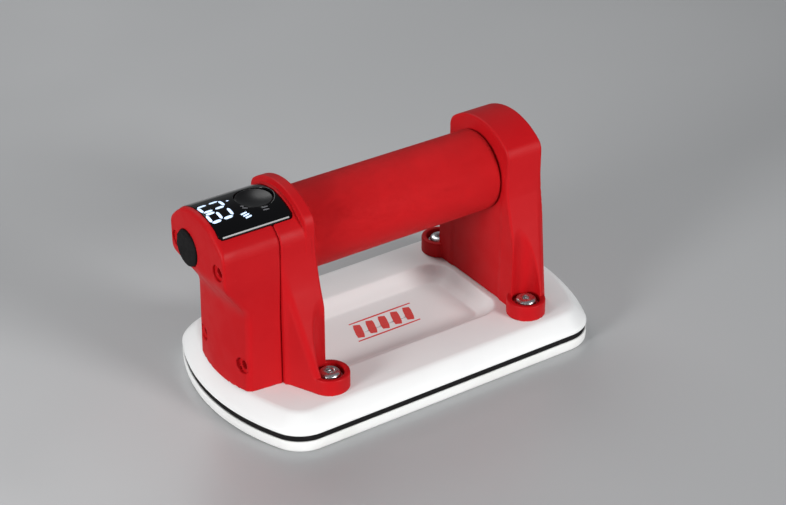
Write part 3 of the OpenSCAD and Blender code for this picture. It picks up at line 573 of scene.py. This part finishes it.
def front_housing(x, y, z):
    """The block less its hollow, with screw pillars, dished holes, the inlet's recess and lens bed."""
    block = meet(house(x, y, z, 0, np.interp(z, house_z, corner_line)), x - split_x, 1.2)
    hollow = house(x, y, z, 2.1, 1)
    hollow = np.maximum(hollow, np.hypot(y, np.maximum(z - arch_z, 0)) - head_r + 4)
    body = cut(block, hollow)
    for place in screw_places:
        pillar = np.hypot(y - place[0], z - place[1]) - pillar_r
        body = np.minimum(body, np.maximum(pillar, np.maximum(block + 0.4, x - split_x)))
    body = np.maximum(body, deck_z - 0.45 * np.clip(-90.3 - x, 0, 2.3) - z)
    for place in screw_places:
        v, bow = place[0] - np.interp(place[1], house_z, shift_line), np.interp(place[1], house_z, bow_line)
        face = np.interp(place[1], house_z, face_line) + bow * (v / 22) ** 2
        body = cut(body, bar_x(x, y, z, place, 3.9, -110, face + 1.3), 0.35)
        body = cut(body, bar_x(x, y, z, place, 2.1, -110, -75.5), 0.3)
        body = cut(body, bar_x(x, y, z, place, 1.6, -80, -70))
    body = cut(body, bar_x(x, y, z, inlet, 9.05, -110, -99.8), 0.3)
    body = cut(body, bar_x(x, y, z, inlet, 6.2, -110, -95.5))
    return cut(body, lens_bed(x, y, z), 0.2)


red_moulding("front_housing_moulding", front_housing, (-101.5, -24, 18), (-72, 24, 106), 0.6 * coarse,
             "front_housing")

# ---- Rear post and cover ------------------------------------------------------------------------
# The rear post is the same red moulding without a head: an arched rim round a hollow that opens to
# the rear, where a flat cover plate is screwed in. A seat inside holds the end of the grip's tube.
rear_x, cover_x = 73.6, (71.1, 73.3)
cover_places = [(-17, 27), (17, 27), (0, 103)]


def rear_post(x, y, z):
    """A flared band under the collar's arch with lugs, hollow behind, with the tube's seat in it."""
    inner = post_in - x
    body = meet(meet(arch(y, z, post_w, collar_r, 2.5, 0.13), x - rear_x, 1.0), inner, 1.5)
    body = with_lugs(np.maximum(body, deck_z - z), x, y, z, rear_x, rear_lug_x, inner)
    body = np.maximum(body, x - rear_x)
    hollow = np.maximum(arch(y, z, post_w - wall_t, collar_r - wall_t, 1.5),
                        np.maximum(post_in + wall_t - x, deck_z + wall_t - z))
    body = cut(body, hollow, 0.25)
    from_tube = np.hypot(y, z - grip_z)
    body = np.minimum(body, np.maximum(from_tube - 19.5, np.maximum(post_in + 1 - x, x - 60)))
    for place in cover_places:
        body = np.minimum(body, bar_x(x, y, z, place, 3.2, post_in + 1, 71))
        body = cut(body, bar_x(x, y, z, place, 1.3, 63.6, 80))
    return cut(body, np.maximum(from_tube - seat_r, x - 60.5))


def rear_cover(x, y, z):
    """A plate in the post's hollow with rounded edges, a shallow groove round it and screw holes."""
    faces = np.maximum(cover_x[0] - x, x - cover_x[1])
    plate = meet(arch(y, z, post_w - wall_t - 0.1, collar_r - wall_t - 0.1, 1.5), faces, 0.4)
    plate = meet(plate, 20.6 - z, 0.4)
    groove = np.maximum(np.abs(arch(y, z, post_w - 6, 28, 1.5)) - 0.5, np.maximum(73.0 - x, 26 - z))
    plate = cut(plate, groove, 0.2)
    for place in cover_places:
        plate = cut(plate, bar_x(x, y, z, place, 2.9, 72.1, 80), 0.25)
        plate = cut(plate, bar_x(x, y, z, place, 1.6, 70, 80))
    return plate


red_moulding("rear_post_moulding", rear_post, (48, -45.8, 18), (73.6, 45.8, 109), 0.6 * coarse, "rear_post")
red_moulding("rear_cover_plate", rear_cover, (cover_x[0], -21.5, 20.6), (cover_x[1], 21.5, 106.4),
             0.45 * coarse, "rear_cover")

# ---- Grip sleeve --------------------------------------------------------------------------------
# A rubber sleeve, 40 mm across, moulded with a leather grain and pushed over the grip's tube. It
# runs from post to post and hides the tube and the battery cells in it.


def turned(profile, sides, axis="z", at=(0, 0, 0), shape=None):
    """A profile of (radius, place along the axis) pairs turned about an axis through at. shape, where
    given, multiplies each row's radius by a function of the angle."""
    a = np.arange(sides) * 2 * math.pi / sides
    r, s = np.array(profile, float).T
    radius = r[:, None] * (shape if shape is not None else np.ones((len(profile), sides)))
    u, v, w = radius * np.cos(a), radius * np.sin(a), np.repeat(s[:, None], sides, 1)
    stack = {"z": (u, v, w), "x": (w, u, v)}[axis]
    return np.stack(stack, -1).reshape(-1, 3) + np.array(at)


leather = Finish("grip_leather", (0.7, 0.008, 0.012), 0.5, Specular_IOR_Level=0.15)
drift = leather.place.node("TexNoise", {"Vector": leather.place, "Scale": 420, "Detail": 2.0}, out="Color")
warped = leather.place.node("VectorMath", {0: leather.place, 1: drift, 2: (0.0012, 0.0012, 0.0012)},
                            operation="MULTIPLY_ADD")
creases = leather.cells(1.5, warped, "DISTANCE_TO_EDGE").rise(0.0, 0.2)
# The grain's crease lines are tinted a darker red: painted shade in the creases.
leather.tint((1 - creases) * 0.7, (0.5, 0.004, 0.006))
leather.tint(leather.cloud(18, 4).rise(0.5, 0.8) * 0.6, (0.76, 0.011, 0.015))
leather.vary("Roughness", 0.62 - creases * 0.14 + leather.cloud(9, 3) * 0.08)
leather.raised(creases * 0.8 + leather.cloud(0.4) * 0.35, 0.14)
lip = [(18.6 + 1.4 * math.sin(a), 51.45 + 1.4 * math.cos(a)) for a in np.linspace(0, math.pi / 2, 7)]
along = np.linspace(-48, 48, 49)
sleeve = [(17, -52.85), *[(r, -s) for r, s in lip], *[(20, s) for s in along], *lip[::-1], (17, 52.85)]
sleeve = [(r, s * 53 / 52.85) for r, s in sleeve]
solid("leather_sleeve", turned(sleeve, 144, "x", (0, 0, grip_z)), grid(len(sleeve), 144, True), leather,
      "grip_sleeve", "grip_rubber", angle=60)

# ---- Display lens -------------------------------------------------------------------------------
# A polished black lens, curved like the head and 2 mm thick, glued into its bed. The key comes up
# through its rear end, and two digits and a small battery gauge shine through from below.


def lens(x, y, z):
    """A rounded rectangle in plan between two arcs about the grip's axis, bevelled all round where
    the two distances add up to -0.48, with the key's hole in it."""
    from_axis = np.hypot(y, z - arch_z)
    plan = meet(np.maximum(lens_edge[0] - x, x - lens_edge[1]), np.abs(y) - lens_edge[2], 2.0)
    skin = np.maximum(from_axis - lens_r[1], lens_r[0] - from_axis)
    slab = np.maximum(np.maximum(plan, skin), (plan + skin) * 0.707 + 0.34)
    slab = np.maximum(slab, 90 - z)
    return cut(slab, np.hypot(x - key_x, y) - 9.1, 0.3)


gloss = Finish("lens_black", (0.002, 0.002, 0.0025), 0.06, Specular_IOR_Level=0.22)
gloss.vary("Roughness", gloss.cloud(7, 5).rise(0.55, 0.9) * 0.05 + 0.05)
points, quads, normals = moulded(lens, (-98.5, -17.5, 99), (-61, 17.5, 105.8), 0.42 * coarse)
solid("lens_slab", points, quads, gloss, "display_lens", "lens_black", normals=normals)

# ---- Digits and gauge ---------------------------------------------------------------------------
# Two digits of bluish white segments, a dot and a battery gauge of three short bars shine through
# the lens from below, and four dim bars are printed beside the key.


def on_lens(x, y):
    """Height of the lens's polished top: 74 + sqrt(31.8^2 - y^2)."""
    return arch_z + np.sqrt(lens_r[1] ** 2 - y ** 2) - 0.02


glow = Finish("digit_glow", (0.3, 0.4, 0.55), 0.3, Emission_Color=(0.6, 0.76, 1.0, 1),
              Emission_Strength=1.0)
glow.tint(glow.cloud(0.6), (0.4, 0.5, 0.65))
digit_x, left_y, right_y, slant = -92, 1.65, -6.1, 0.06
upright = [(left_y, -1, -1), (left_y, -1, 1), (left_y, 1, -1), (left_y, 1, 1),
           (right_y, -1, -1), (right_y, -1, 1), (right_y, 1, -1)]
level = [(left_y, -5.3), (left_y, 5.7), (right_y, -5.3), (right_y, 5.7), (right_y, 0)]
digits = [(digit_x + t * 3 - 2.3, c + s * 2.95, digit_x + t * 3 + 2.3, c + s * 2.95) for c, s, t in upright]
digits += [(digit_x + up, c - 2.5, digit_x + up, c + 2.5) for c, up in level]
digits = [(x0, y0 + slant * (x0 - digit_x), x1, y1 + slant * (x1 - digit_x)) for x0, y0, x1, y1 in digits]
digit_points, digit_quads = strokes(digits, 0.74, on_lens, 0.06)
dot_points, dot_quads = strokes([(-83.7, 2.4, -82.5, 2.4)], 0.5, on_lens, 0.06, 9, 0.5)
gauge = [(-83.2 + 0.55 * k, -9.7 - 1.2 * k, -80 + 0.55 * k, -9.2 - 1.2 * k) for k in range(3)]
gauge_points, gauge_quads = strokes(gauge, 0.4, on_lens, 0.06, 5, 0.8)
solid("lit_digits", np.concatenate([digit_points, dot_points]),
      np.concatenate([digit_quads, dot_quads + len(digit_points)]), glow, None, "white_silicone")
solid("lit_gauge", gauge_points, gauge_quads, glow, None, "white_silicone")

dim = Finish("dim_mark", (0.1, 0.1, 0.11), 0.4)
dim.tint(dim.cloud(1.0), (0.14, 0.14, 0.15))
marks = [(-80.6, -4.6, -79.2, -5.4), (-80.4, -6.1, -78.2, -7.2),
         (-72.4, -9.5, -69.4, -9.6), (-72.6, -10.9, -69.6, -11.1)]
mark_points, mark_quads = strokes(marks, 0.3, on_lens, 0.05, 5, 0.7)
solid("dim_marks", mark_points, mark_quads, dim, None, "white_silicone")

# ---- Power key ----------------------------------------------------------------------------------
# A round key of polished black plastic, 17.6 mm across, with a flat rim and a dished top. Its skirt
# stays under the lens, and its stem presses the switch on the board.
key = Finish("button_black", (0.003, 0.003, 0.0035), 0.3, Specular_IOR_Level=0.2)
key.vary("Roughness", key.cloud(5, 5).rise(0.5, 0.9) * 0.12 + 0.28)
ball_r = 30
dish = [(r, 133.46 - math.sqrt(ball_r ** 2 - r * r)) for r in np.linspace(8.0, 0, 22)]
key_profile = [(0, 100), (2, 100), (2, 101), (7, 101), (7, 100.3), (10, 100.3), (10, 101.5), (8.8, 101.5),
               (8.8, 104.1), (8.72, 104.35), (8.55, 104.53), (8.3, 104.6), (8.1, 104.58), *dish]
solid("power_key", turned(key_profile, 96, at=(key_x, 0, 0)), grid(len(key_profile), 96), key,
      "power_button", "button_black", body="button", angle=38)

# ---- Inlet cap ----------------------------------------------------------------------------------
# A black rubber cap over the charging inlet, 17.5 mm across, with a finger tab at its top where it
# also hinges on a rolled edge. A plug ring behind it holds it shut.
cap_profile = [(0, -102.3), (5.0, -102.34), (7.4, -102.42), (8.1, -102.38), (8.5, -102.15),
               (8.72, -101.8), (8.75, -101.4), (8.75, -100.1), (8.6, -100), (5.6, -100), (5.6, -98.6),
               (5.4, -98.5), (4.7, -98.5), (4.6, -98.7), (4.6, -99.9), (0, -99.9)]
cap_points = turned(cap_profile, 96, "x", (0, *inlet))
roll_t = np.linspace(-3.5, 3.5, 15)
roll_profile = [(0, -3.5), *[(0.5 * min(1, 0.5 + (3.5 - abs(t)) / 0.5), t) for t in roll_t], (0, 3.5)]
roll = turned(roll_profile, 24)[:, [0, 2, 1]] + np.array([-102, inlet[0], 92.9])
tab = [(0, -102.48), (1.7, -102.48), (2.0, -102.4), (2.1, -102.2), (2.1, -101.9), (0, -101.9)]
tab_points = turned(tab, 48, "x") * [1, 1.9, 0.55] + np.array([0, inlet[0], 91.0])
cap_quads = [grid(len(cap_profile), 96), grid(len(roll_profile), 24)[:, ::-1] + len(cap_points),
             grid(len(tab), 48) + len(cap_points) + len(roll)]
solid("inlet_cap", np.concatenate([cap_points, roll, tab_points]), np.concatenate(cap_quads), rubber,
      "charge_cap", "black_rubber", body="cap", angle=40)

# ---- Lug screws and washers ---------------------------------------------------------------------
# Four turned stainless button-head screws with hexagon sockets, each on a flat washer at the bottom
# of its lug's well. They thread into brass inserts in the shell.
lug_places = [(x, s * lug_y) for x in (front_lug_x, rear_lug_x) for s in (-1, 1)]
steel = Finish("stainless", (0.62, 0.62, 0.63), 0.24, Metallic=1.0)
steel.tint(steel.cloud(3, 5).rise(0.5, 0.8), (0.5, 0.5, 0.5)).worn(steel.cloud(0.8, 4), 0.16)
steel.raised(steel.cloud(0.25, 3), 0.01)
turn = np.arange(72) * 2 * math.pi / 72
hexagon = math.cos(math.pi / 6) / np.cos(turn % (math.pi / 3) - math.pi / 6)
head_profile = [(0, 10), (2.2, 10), (2.5, 10.3), (2.5, 23.5), (4.9, 23.5), (5.15, 23.6), (5.25, 23.8),
                (5.2, 24.5), (4.95, 25.15), (4.55, 25.6), (4.1, 25.9), (3.5, 26.12), (3.0, 26.2),
                (2.35, 26.2), (2.05, 26.1), (1.8, 25.8), (1.75, 25.5), (1.75, 24.4), (0, 24.0)]
head_shape = np.ones((len(head_profile), 72))
head_shape[-4:-1] = hexagon
screw = turned(head_profile, 72, shape=head_shape)
washer_profile = [(2.7, well_z), (6.0, well_z), (6.1, 22.62), (6.1, 23.3), (6.02, 23.45), (5.85, 23.5),
                  (2.9, 23.5), (2.7, 23.35)]
washer = turned(washer_profile, 96)


def repeated(points, quads, places):
    """The same points and quads again at each (x, y) place."""
    moved = [points + np.array([x, y, 0]) for x, y in places]
    return np.concatenate(moved), np.concatenate([quads + k * len(points) for k in range(len(places))])


solid("socket_screws", *repeated(screw, grid(len(head_profile), 72), lug_places), steel,
      "lug_screws", "stainless", angle=30)
solid("flat_washers", *repeated(washer, grid(len(washer_profile), 96, True), lug_places), steel,
      "lug_washers", "stainless", angle=30)

# ---- Parts inside and below ---------------------------------------------------------------------
# The pump, valves, cells, boards and hoses are built as they are fitted, behind the red mouldings,
# and the suction plate closes the base from below. Each gets its own finish.


def dress(finish, *nodes):
    """Gives carried-over parts their finish."""
    for node in nodes:
        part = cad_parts[node]
        if not part.material_slots:
            part.data.materials.append(finish.material)
        for holder in part.material_slots:
            holder.material = finish.material


def moulded_plastic(name, color, roughness):
    """Moulded plastic with a faint mottle, a fine texture and duller patches."""
    made = Finish(name, color, roughness)
    made.tint(made.cloud(12, 4).rise(0.45, 0.8) * 0.6, tuple(c * 0.8 for c in color))
    return made.worn(made.cloud(5, 4), 0.14).raised(made.cloud(0.35), 0.02)


def bare_metal(name, color, roughness):
    """Turned or pressed metal: fine scratches, drawn out along Z, and cloudy patches."""
    made = Finish(name, color, roughness, Metallic=1.0)
    made.tint(made.cloud(4, 4).rise(0.45, 0.8) * 0.7, tuple(c * 0.78 for c in color))
    scratches = made.cloud(0.3, 3, made.spread(1, 1, 0.06))
    return made.worn(scratches, 0.18).raised(scratches, 0.008)


grey_abs = moulded_plastic("grey_abs", (0.55, 0.55, 0.55), 0.42)
black_plastic = moulded_plastic("black_plastic", (0.03, 0.03, 0.032), 0.45)
ivory = moulded_plastic("ivory_plastic", (0.74, 0.72, 0.62), 0.42)
tubing = moulded_plastic("clear_silicone", (0.74, 0.74, 0.71), 0.3)
magnet = moulded_plastic("magnet", (0.09, 0.09, 0.1), 0.5)
insulation = moulded_plastic("wire_insulation", (0.55, 0.02, 0.02), 0.35)
stainless = bare_metal("stainless_pressed", (0.66, 0.66, 0.67), 0.25)
zinc = bare_metal("zinc_steel", (0.62, 0.63, 0.66), 0.33)
brass = bare_metal("brass", (0.72, 0.5, 0.2), 0.28)
nickel = bare_metal("nickel", (0.72, 0.7, 0.65), 0.2)
black_steel = bare_metal("black_steel", (0.05, 0.05, 0.055), 0.4)
copper = bare_metal("coil_copper", (0.5, 0.19, 0.07), 0.3)
winding = copper.cloud(0.5, 2, copper.spread(0.05, 0.05, 1))
copper.raised(winding, 0.1)

felt = Finish("filter_felt", (0.72, 0.71, 0.66), 0.95)
fibres = felt.cloud(0.5, 6)
felt.tint(fibres.rise(0.4, 0.75), (0.6, 0.59, 0.54)).raised(fibres, 0.25)
foam = Finish("foam", (0.09, 0.09, 0.09), 0.9)
pores = foam.cells(0.7)
# The pores' hollows stay darker than the lighter cell walls: painted shade in the pores.
foam.raised(pores, 0.3).tint(pores.rise(0.2, 0.6), (0.14, 0.14, 0.14))
board = Finish("board_green", (0.012, 0.13, 0.06), 0.3)
traces = board.cells(2.2, board.spread(1, 1, 0.1), "DISTANCE_TO_EDGE").rise(0.05, 0.12)
board.tint(1 - traces, (0.02, 0.2, 0.09)).raised(traces, 0.03)
wrap = Finish("cell_wrap", (0.06, 0.2, 0.46), 0.25)
wrap.tint(wrap.cloud(8, 3).rise(0.5, 0.7) * 0.5, (0.05, 0.16, 0.4)).raised(wrap.cloud(5, 3), 0.05)
sleeve_film = Finish("shrink_sleeve", (0.02, 0.16, 0.09), 0.28)
sleeve_film.tint(sleeve_film.cloud(10, 3).rise(0.5, 0.7) * 0.5, (0.02, 0.12, 0.07))
sleeve_film.raised(sleeve_film.cloud(4, 3), 0.06)

dress(grey_abs, "suction_plate")
dress(zinc, "plate_screws", "board_screws", "pump_screws", "motor_bracket", "motor_can")
dress(felt, "intake_filter")
dress(black_plastic, "filter_cap", "handle_tube", "display_module", "button_switch", "switch_plunger",
      "buzzer", "pump_housing", "pump_head", "muffler")
dress(tubing, "port_hoses", "suction_hose", "sensor_hose")
dress(brass, "thread_inserts", "eccentric")
dress(black_steel, "housing_screws", "rear_cover_screws", "vent_plunger")
dress(wrap, "front_cell", "rear_cell")
dress(sleeve_film, "cell_sleeve")
dress(foam, "cell_spacers")
dress(stainless, "contact_spring", "check_spring", "vent_spring", "charge_port")
dress(nickel, "contact_plates")
dress(insulation, "power_leads")
dress(board, "control_board", "charge_board")
dress(ivory, "pressure_sensor", "motor_end_bell", "connecting_rod", "check_valve_body", "vent_valve_body")
dress(magnet, "motor_magnets")
dress(copper, "motor_rotor", "vent_coil")
dress(rubber, "diaphragm", "pump_pads", "check_poppet")
